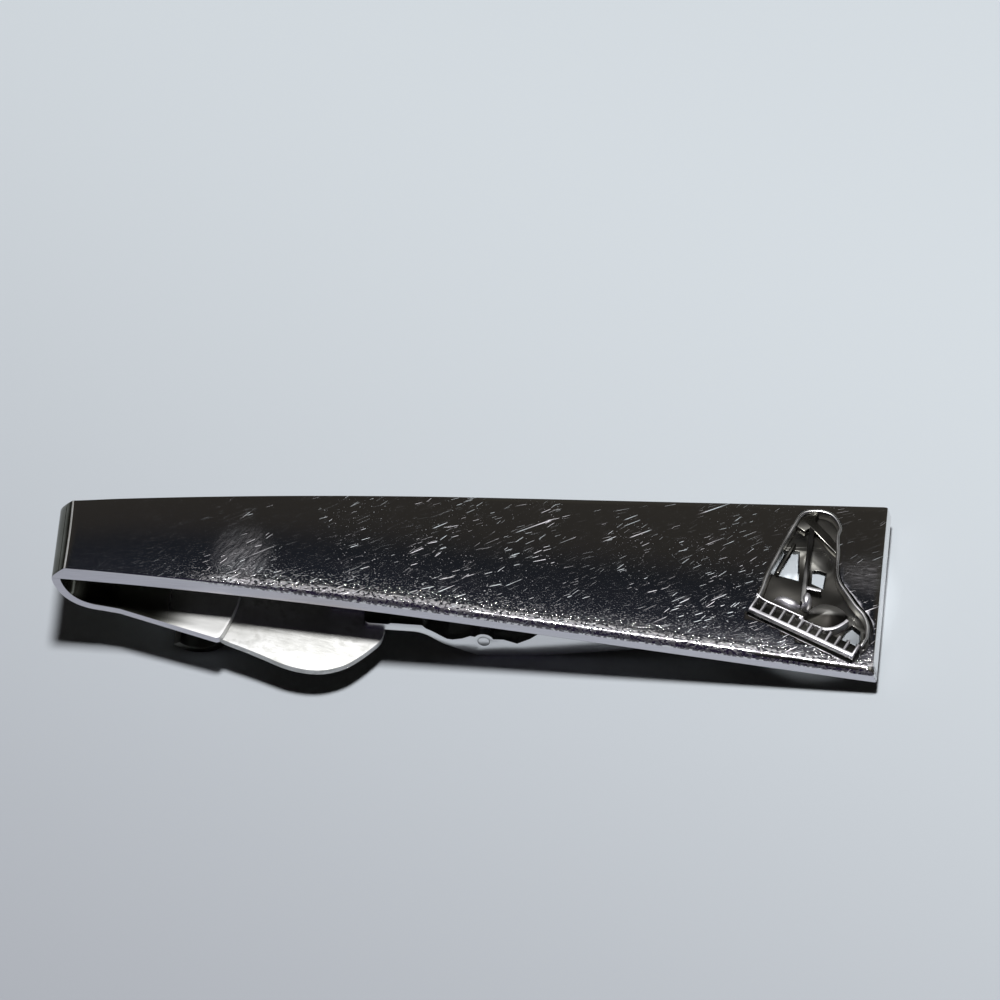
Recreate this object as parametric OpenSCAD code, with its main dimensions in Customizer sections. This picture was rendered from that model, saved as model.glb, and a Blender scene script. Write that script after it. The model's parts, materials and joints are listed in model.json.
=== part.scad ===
// Tie clip: a tapered, crowned front plate with its narrow end folded back as a spring arm,
// a pivoted jaw lever with a wide thumb pad behind it, and a pierced grand piano set in the wide end.
// Every piece is drawn in the plate's own frame: X runs along the plate from the folded end, Y across it,
// and Z is zero on the flat underside. at_rest() then lays the clip on a table, as it lies by itself.

/* [Front plate] */
// Length of the plate, from the fold to the wide end
plate_len = 57; // [55:0.5:62]
// Width at the folded end
narrow_w = 5.85; // [5:0.05:6.8]
// Width at the wide end
wide_w = 14.2; // [13.6:0.1:16]
// Thickness along the middle line
plate_t = 1.5; // [1.35:0.05:1.9]
// Radius of the crown across the top
crown_r = 80; // [65:1:120]
// Length of the bowed stretch, from the folded end
bow_len = 29; // [26:0.1:32]
// Radius of the bow along the length
bow_r = 283; // [260:1:420]
// Radius of the plate's two free corners
corner_r = 0.4; // [0.2:0.05:0.8]

/* [Folded end] */
// Thickness of the folded strip
strip_t = 0.6; // [0.5:0.05:0.7]
// Inside radius of the fold
fold_r = 2.5; // [2.45:0.05:2.6]
// How far the fold stands out past the end of the plate's underside
fold_bulge = 0.7; // [0.65:0.05:0.8]
// Depth of the fold's centre below the underside of the plate's end
fold_drop = 0.11; // [0.05:0.01:0.2]
// Length of straight strip between the fold and the place where it flexes
fold_tail = 0.7; // [0.5:0.05:1]

/* [Spring arm] */
// Length of the arm from where it flexes to its tip
arm_len = 8.95; // [8.7:0.05:9.1]
// Width of the arm where it is widest
arm_w = 11; // [10.4:0.1:11.4]
// Distance from the flexing line to the widest place
arm_wide_x = 7.7; // [7.4:0.05:7.9]
// Rounding radius of the arm's tip
arm_tip_r = 13; // [11:0.5:15]
// Clearance between the arm and the pad that it presses on
arm_gap = 0.1; // [0.06:0.01:0.15]

/* [Thumb pad] */
// Distance of the pad's inner end from the folded end
pad_x = 10.9; // [10.7:0.05:11.1]
// Length of the pad
pad_len = 11.6; // [11:0.1:12.2]
// Width of the pad
pad_w = 14.4; // [13.8:0.1:14.8]
// Thickness of the pad
pad_t = 0.55; // [0.45:0.05:0.65]
// Depth of the pad's top below the underside, at its inner end
pad_depth = 4.2; // [4.1:0.02:4.3]
// Rise of the pad towards its outer end, in degrees
pad_rise = 2.7; // [2.4:0.1:3]
// Width of the finger lip rolled from the pad's inner end
lip_w = 7.2; // [6:0.1:8]
// Middle radius of the rolled lip
lip_r = 1.95; // [1.8:0.05:2.1]
// Depth of the centre of the rolled lip below the underside
lip_depth = 6; // [5.9:0.05:6.2]
// Angle that the roll carries on past its lowest point
lip_curl = 48; // [30:1:60]

/* [Jaw lever] */
// Width of the lever
lever_w = 6.4; // [6:0.1:7]
// Thickness of the lever's sheet
lever_t = 0.55; // [0.45:0.05:0.6]
// Length of the tongue that the pad is joined to
tongue_len = 2.6; // [2:0.1:3]
// Width of that tongue
tongue_w = 4.2; // [3.4:0.1:5]
// Lap of the lever's full width over the pad
lap_len = 1.5; // [1.2:0.1:1.9]
// Length of the raised crest
crest_len = 2.2; // [1.8:0.1:2.4]
// Lift of the crest's sides above the sheet
crest_lift = 0.13; // [0.05:0.01:0.25]
// Distance from the crest's end to the hinge pin
crest_back = 4.4; // [4.2:0.1:4.7]
// Distance of the middle of the belly past the hinge pin
belly_ahead = 1.8; // [1.5:0.1:2.1]
// Length of the flat of the belly
belly_len = 4; // [3.4:0.1:4.4]
// Depth of the belly's middle below the underside
belly_depth = 5.05; // [5:0.05:5.2]
// Distance of the jaw's tip from the plate's wide end
jaw_back = 10.2; // [9.9:0.1:11]
// Depth of the jaw's tip below the underside
jaw_tip_depth = 1.45; // [1.3:0.05:1.6]
// Start of the teeth, as a share of the way from the hinge pin to the jaw's tip
teeth_from_share = 0.4; // [0.38:0.01:0.44]
// Number of teeth along each side of the jaw
tooth_count = 10; // [6:1:10]
// Depth of the teeth
tooth_depth = 0.35; // [0.2:0.05:0.45]

/* [Hinge] */
// Distance of the hinge pin from the folded end
pin_x = 29.5; // [29.3:0.05:29.8]
// Depth of the hinge pin below the underside
pin_depth = 3.85; // [3.8:0.01:3.9]
// Diameter of the hinge pin
pin_d = 0.8; // [0.7:0.05:0.9]
// Length of the bracket's base
bracket_len = 5; // [4:0.1:5.6]
// Thickness of the bracket's sheet
bracket_t = 0.5; // [0.4:0.05:0.6]

/* [Piano] */
// Length of the piano's keyboard, as a share of the plate's width at the wide end
keyboard_w_share = 0.5775; // [0.54:0.0005:0.59]
// Depth of the keyboard, as a share of its length
keyboard_d_share = 0.14; // [0.12:0.005:0.16]
// Length of the piano, from the keyboard's front to its tail, as a share of the keyboard's length
piano_len_share = 1.238; // [1.17:0.002:1.27]
// Turn of the piano on the plate, in degrees
piano_turn = -23.7; // [-26:0.1:-22]
// Distance of the keyboard's front left corner from the wide end, as a share of the plate's width there
piano_back_share = 0.638; // [0.634:0.002:0.66]
// Distance of that corner from the plate's middle line, as a share of the same width
piano_side_share = 0.2007; // [0.183:0.0005:0.208]
// Number of raised key edges, with one at each end of the keyboard
key_count = 12; // [8:1:13]
// Width of the piano's rim
rim_w = 0.26; // [0.2:0.02:0.36]
// Height of the ornament's floor above the underside
floor_z = 0.3; // [0.2:0.05:0.4]
// Thickness of the ornament's floor
floor_t = 0.45; // [0.4:0.05:0.5]

/* [Hidden] */
$fn = 64;

silver = [0.78, 0.78, 0.8];
spring_silver = [0.86, 0.86, 0.85];
dark_silver = [0.5, 0.5, 0.53];

// Clearances and overruns that the pieces share
turn_gap = 0.03;
side_gap = 0.15;
tooth_gap = 0.04;
cut_over = 1;
path_steps = 6;

// Front plate
function half_w(x) = (narrow_w + (wide_w - narrow_w) * x / plate_len) / 2;
function bow_drop(x) = x < bow_len ? bow_r - sqrt(pow(bow_r, 2) - pow(bow_len - x, 2)) : 0;

// Fold, seen from the side: its centre, its middle radius and the line where the strip flexes
fold_c = [fold_r + strip_t - fold_bulge, -bow_drop(0) - fold_drop];
fold_mid_r = fold_r + strip_t / 2;
fold_out_r = fold_r + strip_t;
bow_turn = asin((bow_len + fold_out_r) / bow_r);

// Pad plane: a line that rises from the pad's inner end
pad_dir = [cos(pad_rise), sin(pad_rise)];
function on_pad(x, up) = [x, -pad_depth + (x - pad_x) * tan(pad_rise) + up];

// Arm: it leaves the fold at the angle that brings its lower face just above the pad's inner end
arm_aim = [pad_x, -pad_depth + arm_gap] - fold_c;
arm_rise = atan2(arm_aim[1], arm_aim[0]) + asin(fold_out_r / norm(arm_aim));
fold_end_turn = 270 + arm_rise;
fold_end = fold_c + fold_mid_r * [cos(fold_end_turn), sin(fold_end_turn)];
arm_dir = [cos(arm_rise), sin(arm_rise)];
arm_up = [-arm_dir[1], arm_dir[0]];
flex_c = fold_end + fold_tail * arm_dir;

// Rolled lip at the pad's inner end
lip_c = [pad_x + pad_t / 2 - lip_r, -lip_depth];
lip_out_r = lip_r + pad_t / 2;
lip_ease = pad_t;

// Lever, seen from the side: its lower line, from the tongue to the tip of the jaw
pin_c = [pin_x, -pin_depth];
pin_r = pin_d / 2;
pad_end_x = pad_x + pad_len;
neck_x = pad_end_x - lap_len;
tail_x = neck_x - tongue_len;
crest_x = pin_x - crest_back;
belly_mid = [pin_x + belly_ahead, -belly_depth];
jaw_x = plate_len - jaw_back;

// Rest pose: the table touches the rolled lip and the flat of the belly
lip_away = belly_mid - lip_c;
rest_tilt = atan2(lip_away[1], lip_away[0]) + asin(lip_out_r / norm(lip_away));
belly_dir = [cos(rest_tilt), sin(rest_tilt)];
belly_in = belly_mid - belly_len / 2 * belly_dir;
belly_out = belly_mid + belly_len / 2 * belly_dir;
crest_low = on_pad(crest_x, 0);
dip_shares = [0.4, 0.56];
dip_low = [crest_low[0] + dip_shares[0] * (belly_in[0] - crest_low[0]),
           crest_low[1] + dip_shares[1] * (belly_in[1] - crest_low[1])];
bend_ease = 0.7;
lever_low = eased_path([on_pad(tail_x, 0), crest_low, dip_low, belly_in, belly_out, [jaw_x, -jaw_tip_depth]],
                       bend_ease);
tip_ease = 0.5;

function laid(p) = [p[0] * cos(rest_tilt) + p[1] * sin(rest_tilt), -p[0] * sin(rest_tilt) + p[1] * cos(rest_tilt)];
rest_left = laid(fold_c)[0] - fold_out_r;
rest_right = laid([plate_len, plate_t])[0];
rest_move = [-(rest_left + rest_right) / 2, 0, -laid(belly_mid)[1]];

// Hinge: the bracket's ears stand between the lever's sides
lug_wall = 0.33;
ear_wall = 0.22;
lug_r = pin_r + lug_wall;
ear_r = pin_r + ear_wall;
ear_out_y = lever_w / 2 - lever_t - side_gap;
ear_foot_shares = [0.76, 0.64];

// Upper edge of the lever's sides: shares of the way to the pin, round the pin, then up to the teeth
cheek_shares = [[0.16, 0.92], [0.3, 1.02], [0.5, 1.03], [0.65, 0.98], [0.78, 0.89]];
throat_shares = [[0.2, 0.9], [0.34, 0.968], [0.47, 0.81], [0.66, 0.47], [0.84, 0.26]];
lug_turns = [150, 25];
lug_arc = [for (i = [0:path_steps]) let(a = lug_turns[0] + (lug_turns[1] - lug_turns[0]) * i / path_steps)
           pin_c + lug_r * [cos(a), sin(a)]];
teeth_end_x = jaw_x - tooth_depth;
teeth_x = pin_x + teeth_from_share * (jaw_x - pin_x);
tooth_pitch = (teeth_end_x - teeth_x) / tooth_count;
tooth_top = -tooth_gap;

// Pad's plan: shares of its length and of half its width
pad_shares = [[0, 0.655], [0.03, 0.706], [0.158, 0.785], [0.285, 0.868], [0.412, 0.954], [0.537, 1], [0.658, 0.998],
              [0.776, 0.932], [0.86, 0.83], [0.945, 0.69], [0.985, 0.6], [1, 0.48]];

// Piano: it keeps its place and proportions in the wide end
keyboard_w = keyboard_w_share * wide_w;
keyboard_d = keyboard_d_share * keyboard_w;
piano_len = piano_len_share * keyboard_w;
piano_back = piano_back_share * wide_w;
piano_side = piano_side_share * wide_w;

// Its outline: shares of the keyboard's length and of the piano's length, up its right side and down its left
outline_shares = [[1.024, 0.197], [0.976, 0.291], [0.884, 0.367], [0.774, 0.409], [0.652, 0.471], [0.561, 0.517],
                  [0.5, 0.571], [0.445, 0.65], [0.402, 0.729], [0.357, 0.793], [0.312, 0.862], [0.294, 0.926],
                  [0.207, 0.985], [0.116, 1], [0.012, 0.975], [-0.068, 0.926], [-0.093, 0.867], [-0.091, 0.788],
                  [-0.088, 0.709], [-0.083, 0.601], [-0.07, 0.502], [-0.059, 0.379], [-0.046, 0.305],
                  [-0.024, 0.227], [-0.012, 0.158]];
rim_end_shares = [1.024, -0.01];
left_window_shares = [[-0.031, 0.56], [-0.039, 0.35], [0.24, 0.387], [0.104, 0.61]];
brace_shares = [[0.006, 0.61], [0.02, 0.33]];
brace_w_share = 0.034;
bay_window_shares = [[0.312, 0.455], [0.293, 0.511], [0.33, 0.545], [0.392, 0.551], [0.418, 0.49], [0.432, 0.452]];
cheek_window_shares = [[0.812, 0.121], [0.815, 0.205], [0.833, 0.25], [0.905, 0.235], [0.945, 0.18], [0.96, 0.121]];
lid_cut_shares = [[-0.12, 0.8], [0.03, 0.775], [0.055, 0.824], [0.42, 0.703], [0.5, 1.1], [-0.2, 1.1]];
lid_well_shares = [[0.05, 0.9], [0.138, 0.866], [0.245, 0.833], [0.335, 0.79], [0.45, 0.9], [0.3, 1.1], [0.05, 1.1]];
prop_shares = [[0.07, 0.83], [0.366, 0.235]];
prop_w_share = 0.045;
prop_foot_shares = [0.374, 0.262];
prop_foot_share = 0.032;
rest_bar_shares = [[0.29, 0.39], [0.43, 0.42]];
rest_bar_w_share = 0.03;
front_shares = [[0.43, 0.125], [0.5, 0.119], [0.62, 0.127], [0.69, 0.155], [0.735, 0.202], [0.765, 0.262],
                [0.74, 0.335], [0.62, 0.36], [0.5, 0.33], [0.425, 0.25]];
moulding_shares = [[0.415, 0.135], [0.5, 0.119], [0.62, 0.127], [0.69, 0.155], [0.735, 0.202], [0.77, 0.27]];
moulding_w_share = 0.03;
desk_shares = [[0.13, 0.19], [0.16, 0.235], [0.35, 0.24], [0.37, 0.2], [0.27, 0.175]];
key_share = 0.34;
key_rail_share = 0.2;

// Heights of the ornament's layers above the underside, as shares of the plate's thickness
floor_top = floor_z + floor_t;
lid_top_share = 0.93;
rim_top_share = 1.06;
prop_top_share = 1.05;
brace_top_share = 0.8;
front_top_share = 0.86;
moulding_top_share = 1;
desk_top_share = 0.97;
keyboard_top_share = 0.88;
key_top_share = 1.16;

// Shapes seen from the side are drawn in X and Z and stand w wide across the clip
module across(w) {
    rotate([90, 0, 0])
        linear_extrude(w, center = true)
            children();
}

// Lays a piece in the frame of the table
module at_rest() {
    translate(rest_move)
        rotate([0, rest_tilt, 0])
            children();
}

// Keeps what lies inside a plan outline
module in_plan() {
    intersection() {
        children(0);
        translate([0, 0, -plate_len / 2])
            linear_extrude(plate_len)
                children(1);
    }
}

// A point on the way from a to b, at distance d from a
function toward(a, b, d) = a + d * (b - a) / norm(b - a);

// The corner at b, replaced by a curve that starts and ends at distance d from it
function eased_corner(a, b, c, d) = [for (i = [0:path_steps]) let(t = i / path_steps)
    pow(1 - t, 2) * toward(b, a, d) + 2 * t * (1 - t) * b + pow(t, 2) * toward(b, c, d)];

function eased_path(p, d) = concat([p[0]],
    [for (i = [1:len(p) - 2]) each eased_corner(p[i - 1], p[i], p[i + 1], d)], [p[len(p) - 1]]);

function eased_loop(p, d) = [for (i = [0:len(p) - 1])
    each eased_corner(p[(i + len(p) - 1) % len(p)], p[i], p[(i + 1) % len(p)], d)];

// Unit normal to the left of a path at point i
function path_normal(p, i) =
    let(d = p[min(i + 1, len(p) - 1)] - p[max(i - 1, 0)])
    [-d[1], d[0]] / norm(d);

function beside(p, t) = [for (i = [0:len(p) - 1]) p[i] + t * path_normal(p, i)];
function reversed(p) = [for (i = [len(p) - 1:-1:0]) p[i]];

// Closed outline of a bent sheet that lies between two distances to the left of a path
function sheet_outline(p, from, to) = concat(beside(p, from), reversed(beside(p, to)));

// Smooth curve through points
function curve_at(a, b, c, d, t) =
    0.5 * (2 * b + (c - a) * t + (2 * a - 5 * b + 4 * c - d) * pow(t, 2) + (3 * b - a - 3 * c + d) * pow(t, 3));

function smooth(p, steps) = concat([for (i = [0:len(p) - 2]) for (k = [0:steps - 1])
    curve_at(p[max(i - 1, 0)], p[i], p[i + 1], p[min(i + 2, len(p) - 1)], k / steps)], [p[len(p) - 1]]);

// Front plate: a crowned blank, straight at the wide end and bowed towards the fold
module plate_section() {
    intersection() {
        translate([0, -wide_w])
            square([plate_t, 2 * wide_w]);
        translate([plate_t - crown_r, 0])
            circle(crown_r, $fn = 180);
    }
}

module plate_blank() {
    translate([plate_len, 0, 0])
        rotate([0, -90, 0])
            linear_extrude(plate_len - bow_len)
                plate_section();
    translate([bow_len, 0, -bow_r])
        rotate([90, 0, 0])
            rotate([0, 0, 90])
                rotate_extrude(angle = bow_turn, $fn = 360)
                    translate([bow_r, 0])
                        plate_section();
}

module plate_plan() {
    corner_y = half_w(plate_len - corner_r) - corner_r;
    polygon([[-fold_out_r, -half_w(-fold_out_r)], [plate_len - corner_r, -half_w(plate_len - corner_r)],
             [plate_len - corner_r, half_w(plate_len - corner_r)], [-fold_out_r, half_w(-fold_out_r)]]);
    translate([plate_len - 2 * corner_r, -corner_y])
        square([2 * corner_r, 2 * corner_y]);
    for (side = [-1, 1])
        translate([plate_len - corner_r, side * corner_y])
            circle(corner_r);
}

// What lies outside the fold, beyond its centre
module outside_fold() {
    difference() {
        translate(fold_c - [3, 2] * fold_out_r)
            square([3 * fold_out_r, 4 * fold_out_r]);
        translate(fold_c)
            circle(fold_out_r, $fn = 120);
    }
}

module fold_side() {
    join_turn = 160;
    difference() {
        union() {
            intersection() {
                difference() {
                    translate(fold_c)
                        circle(fold_out_r, $fn = 120);
                    translate(fold_c)
                        circle(fold_r, $fn = 120);
                }
                polygon([for (a = [join_turn, 180, 225, fold_end_turn, 0])
                         a == 0 ? fold_c : fold_c + 2 * fold_out_r * [cos(a), sin(a)]]);
            }
            polygon([fold_end - strip_t / 2 * arm_dir, fold_end - strip_t / 2 * arm_up,
                     flex_c - strip_t / 2 * arm_up, flex_c + strip_t / 2 * arm_up,
                     fold_end + strip_t / 2 * arm_up]);
        }
        translate(flex_c)
            circle(strip_t / 2 + turn_gap);
    }
}

module front_plate() {
    at_rest()
        color(silver)
            difference() {
                in_plan() {
                    union() {
                        difference() {
                            plate_blank();
                            across(2 * wide_w)
                                outside_fold();
                        }
                        across(2 * wide_w)
                            fold_side();
                    }
                    plate_plan();
                }
                in_piano(-cut_over, plate_t + cut_over)
                    piano_hole();
            }
}

// Spring arm: the folded strip beyond its flexing line, fanned out to a round tip
module arm_plan() {
    intersection() {
        polygon([[flex_c[0] - strip_t, half_w(flex_c[0])], [flex_c[0] + arm_wide_x, arm_w / 2],
                 [flex_c[0] + arm_len + strip_t, arm_w / 2], [flex_c[0] + arm_len + strip_t, -arm_w / 2],
                 [flex_c[0] + arm_wide_x, -arm_w / 2], [flex_c[0] - strip_t, -half_w(flex_c[0])]]);
        translate([flex_c[0] + arm_len * arm_dir[0] - arm_tip_r, 0])
            circle(arm_tip_r, $fn = 120);
    }
}

module spring_arm() {
    arm_end = flex_c + (arm_len + strip_t) * arm_dir;
    at_rest()
        color(spring_silver)
            in_plan() {
                across(2 * arm_w)
                    union() {
                        translate(flex_c)
                            circle(strip_t / 2);
                        polygon([flex_c - strip_t / 2 * arm_up, arm_end - strip_t / 2 * arm_up,
                                 arm_end + strip_t / 2 * arm_up, flex_c + strip_t / 2 * arm_up]);
                    }
                arm_plan();
            }
}

// Hinge bracket: a small base under the plate with two ears that hold the pin
module ear_side() {
    foot = ear_foot_shares * bracket_len / 2;
    polygon([[pin_x - foot[0], -bracket_t / 2], [pin_x + foot[1], -bracket_t / 2],
             [pin_x + ear_r, -pin_depth], [pin_x - ear_r, -pin_depth]]);
    translate(pin_c)
        circle(ear_r);
}

module pin_bore(r, w) {
    translate([pin_x, 0, -pin_depth])
        rotate([90, 0, 0])
            cylinder(h = w, r = r, center = true);
}

module hinge_bracket() {
    at_rest()
        color(silver)
            difference() {
                union() {
                    translate([pin_x - bracket_len / 2, -ear_out_y, -bracket_t])
                        cube([bracket_len, 2 * ear_out_y, bracket_t]);
                    for (side = [-1, 1])
                        translate([0, side * (ear_out_y - bracket_t / 2), 0])
                            across(bracket_t)
                                ear_side();
                }
                plate_blank();
                pin_bore(pin_r, lever_w + cut_over);
            }
}

module hinge_pin() {
    at_rest()
        color(silver)
            pin_bore(pin_r, lever_w);
}

// Jaw lever: a bent sheet with two upright sides that carry the lugs and the teeth
module lever_plan() {
    polygon(eased_loop([[tail_x, -tongue_w / 2], [neck_x, -tongue_w / 2], [neck_x, -lever_w / 2],
                        [jaw_x, -lever_w / 2], [jaw_x, lever_w / 2], [neck_x, lever_w / 2],
                        [neck_x, tongue_w / 2], [tail_x, tongue_w / 2]], tip_ease));
}

module lever_side() {
    shoulder_x = crest_x - crest_len;
    polygon(concat(
        [on_pad(shoulder_x - lever_t, 0), on_pad(crest_x - 2 * bend_ease, 0)],
        [for (i = [1:len(lever_low) - 1]) lever_low[i]],
        [[jaw_x, tooth_top - tooth_depth], [teeth_end_x, tooth_top - tooth_depth]],
        [for (i = [tooth_count - 1:-1:0]) each [
            [teeth_x + (i + 1 / 4) * tooth_pitch, tooth_top],
            [teeth_x + i * tooth_pitch, tooth_top - tooth_depth]]],
        reversed([for (s = throat_shares) [pin_x + s[0] * (teeth_x - pin_x), -s[1] * pin_depth]]),
        reversed(lug_arc),
        reversed([for (s = cheek_shares) [crest_x + s[0] * crest_back, -s[1] * pin_depth]]),
        [on_pad(crest_x, lever_t + crest_lift), on_pad(shoulder_x, lever_t + crest_lift),
         on_pad(shoulder_x - lever_t, lever_t / 2)]));
}

module jaw_lever() {
    at_rest()
        color(silver)
            difference() {
                in_plan() {
                    union() {
                        across(lever_w)
                            polygon(sheet_outline(lever_low, 0, lever_t));
                        for (side = [-1, 1])
                            translate([0, side * (lever_w - lever_t) / 2, 0])
                                across(lever_t)
                                    lever_side();
                    }
                    lever_plan();
                }
                pin_bore(pin_r + turn_gap, lever_w + cut_over);
            }
}

// Thumb pad: a flat round-lobed plate with a finger lip rolled down from its inner end
function pad_edge() = smooth([for (s = pad_shares) [pad_x + s[0] * pad_len, s[1] * pad_w / 2]], 3);

module thumb_pad() {
    lip_x = lip_c[0] + lip_r;
    pad_edge_points = pad_edge();
    at_rest()
        color(spring_silver) {
            in_plan() {
                across(2 * pad_w)
                    polygon([on_pad(pad_x - pad_t, 0), on_pad(pad_end_x + pad_t, 0),
                             on_pad(pad_end_x + pad_t, -pad_t), on_pad(pad_x - pad_t, -pad_t)]);
                polygon(concat(pad_edge_points, [for (p = reversed(pad_edge_points)) [p[0], -p[1]]]));
            }
            across(lip_w)
                polygon(sheet_outline(eased_path([on_pad(lip_x + 2 * lip_ease, -pad_t / 2),
                                                  on_pad(lip_x, -pad_t / 2), lip_c + [lip_r, 0]], lip_ease),
                                      -pad_t / 2, pad_t / 2));
            across(lip_w)
                intersection() {
                    difference() {
                        translate(lip_c)
                            circle(lip_out_r);
                        translate(lip_c)
                            circle(lip_r - pad_t / 2);
                    }
                    polygon([for (a = [360, 315, 270, 270 - lip_curl, 0])
                             a == 0 ? lip_c : lip_c + 2 * lip_out_r * [cos(a), sin(a)]]);
                }
        }
}

// Piano: drawn from its keyboard's front left corner, then set in the plate between two heights
module in_piano(from, to) {
    translate([plate_len - piano_back, -piano_side, from])
        rotate([0, 0, piano_turn])
            linear_extrude(to - from)
                children();
}

function piano_point(s) = [s[0] * keyboard_w, s[1] * piano_len];
function piano_points(shares) = [for (s = shares) piano_point(s)];

rim_path = concat([[rim_end_shares[0] * keyboard_w, keyboard_d - rim_w]],
                  smooth(piano_points(outline_shares), 3),
                  [[rim_end_shares[1] * keyboard_w, keyboard_d - rim_w]]);

// The side of the keyboard where the case stands
module behind_keyboard() {
    intersection() {
        children();
        translate([-keyboard_w, keyboard_d])
            square([3 * keyboard_w, 2 * piano_len]);
    }
}

module piano_hole() {
    behind_keyboard()
        polygon(rim_path);
    square([keyboard_w, keyboard_d + rim_w / 2]);
}

module case_inside() {
    behind_keyboard()
        polygon(beside(rim_path, rim_w));
}

// A straight bar between two points
module bar(shares, w) {
    p = piano_points(shares);
    polygon(sheet_outline(p, -w / 2, w / 2));
}

module lid_region() {
    difference() {
        intersection() {
            case_inside();
            polygon(piano_points(lid_cut_shares));
        }
        polygon(piano_points(lid_well_shares));
    }
}

module piano_rim() {
    at_rest()
        color(silver)
            in_piano(floor_z, rim_top_share * plate_t)
                behind_keyboard()
                    difference() {
                        polygon(rim_path);
                        polygon(beside(rim_path, rim_w));
                    }
}

module piano_soundboard() {
    at_rest()
        color(dark_silver)
            in_piano(floor_z, floor_top)
                difference() {
                    case_inside();
                    polygon(piano_points(left_window_shares));
                    polygon(piano_points(bay_window_shares));
                    polygon(piano_points(cheek_window_shares));
                }
}

module piano_lid() {
    at_rest()
        color(dark_silver)
            in_piano(floor_top, lid_top_share * plate_t)
                lid_region();
}

module lid_prop() {
    at_rest()
        color(silver)
            in_piano(floor_top, prop_top_share * plate_t)
                difference() {
                    union() {
                        bar(prop_shares, prop_w_share * keyboard_w);
                        bar(rest_bar_shares, rest_bar_w_share * keyboard_w);
                        translate(piano_point(prop_foot_shares))
                            circle(prop_foot_share * keyboard_w);
                    }
                    lid_region();
                    polygon(smooth(piano_points(desk_shares), 3));
                }
}

module string_brace() {
    at_rest()
        color(silver)
            in_piano(floor_top, brace_top_share * plate_t)
                bar(brace_shares, brace_w_share * keyboard_w);
}

module case_moulding() {
    at_rest()
        color(silver)
            in_piano(floor_top, moulding_top_share * plate_t)
                behind_keyboard()
                    difference() {
                        polygon(sheet_outline(smooth(piano_points(moulding_shares), 3),
                                              -moulding_w_share * keyboard_w, 0));
                        polygon(smooth(piano_points(front_shares), 3));
                    }
}

module case_front() {
    at_rest()
        color(dark_silver)
            in_piano(floor_top, front_top_share * plate_t)
                behind_keyboard()
                    polygon(smooth(piano_points(front_shares), 3));
}

module music_desk() {
    at_rest()
        color(silver)
            in_piano(floor_top, desk_top_share * plate_t)
                polygon(smooth(piano_points(desk_shares), 3));
}

module keyboard() {
    at_rest()
        color(dark_silver)
            in_piano(floor_z, keyboard_top_share * plate_t)
                square([keyboard_w, keyboard_d]);
}

module piano_keys() {
    key_pitch = keyboard_w / (key_count - 1 + key_share);
    at_rest()
        color(silver)
            in_piano(keyboard_top_share * plate_t, key_top_share * plate_t) {
                square([keyboard_w, key_rail_share * keyboard_d]);
                for (i = [0:key_count - 1])
                    translate([i * key_pitch, 0])
                        square([key_share * key_pitch, keyboard_d]);
            }
}

front_plate();
spring_arm();
hinge_bracket();
hinge_pin();
jaw_lever();
thumb_pad();
piano_rim();
piano_soundboard();
piano_lid();
lid_prop();
string_brace();
case_front();
case_moulding();
music_desk();
keyboard();
piano_keys();
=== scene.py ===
# %% [markdown]
# Tie clip in polished plating, lying on a pale table.
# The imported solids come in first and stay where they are. Every visible piece is then modelled over
# its solid, with the small rounded edges and the surface wear that plain solids don't have.

# %% Load the frame
import json
import math

import bmesh
import bpy
from mathutils import Matrix, Vector


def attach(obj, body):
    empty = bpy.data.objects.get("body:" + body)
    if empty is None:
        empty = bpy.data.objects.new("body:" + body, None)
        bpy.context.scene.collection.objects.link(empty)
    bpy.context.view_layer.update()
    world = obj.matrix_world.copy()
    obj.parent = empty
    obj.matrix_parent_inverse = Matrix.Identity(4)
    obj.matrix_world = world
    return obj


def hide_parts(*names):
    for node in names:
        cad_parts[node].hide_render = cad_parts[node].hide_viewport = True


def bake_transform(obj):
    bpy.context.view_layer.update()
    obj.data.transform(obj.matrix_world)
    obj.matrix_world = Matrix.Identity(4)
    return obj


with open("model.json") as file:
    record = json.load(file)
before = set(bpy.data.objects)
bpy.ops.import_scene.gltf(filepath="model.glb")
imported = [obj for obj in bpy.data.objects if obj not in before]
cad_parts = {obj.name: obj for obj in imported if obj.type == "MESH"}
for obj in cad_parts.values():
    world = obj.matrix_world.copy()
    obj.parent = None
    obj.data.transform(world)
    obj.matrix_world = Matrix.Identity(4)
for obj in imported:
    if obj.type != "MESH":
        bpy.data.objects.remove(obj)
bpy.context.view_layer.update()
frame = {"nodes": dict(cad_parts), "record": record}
MM = 0.001
print("nodes", sorted(frame["nodes"]))


def deselect_all():
    if bpy.context.mode != "OBJECT":
        bpy.ops.object.mode_set(mode="OBJECT")
    bpy.ops.object.select_all(action="DESELECT")


def make_active(piece):
    deselect_all()
    piece.select_set(True)
    bpy.context.view_layer.objects.active = piece


# %% [markdown]
# The camera looks down on the clip from the near side, a little from the left, through a long lens.
# Its place comes from the four corners and both long edges of the front plate, so it is written as
# angles, a distance and a shift instead of being placed by eye.

# %% Camera
AIM = Vector((0.0, 0.0, 4.0)) * MM
AZIMUTH, ELEVATION, ROLL = (math.radians(a) for a in (-16.045, 54.169, -13.176))
DISTANCE = 900 * MM
PIXELS_PER_MM = 14.239
AIM_PIXEL = (472.33, 577.93)
FRAME_PIXELS = 1000
SENSOR = 36.0

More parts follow.
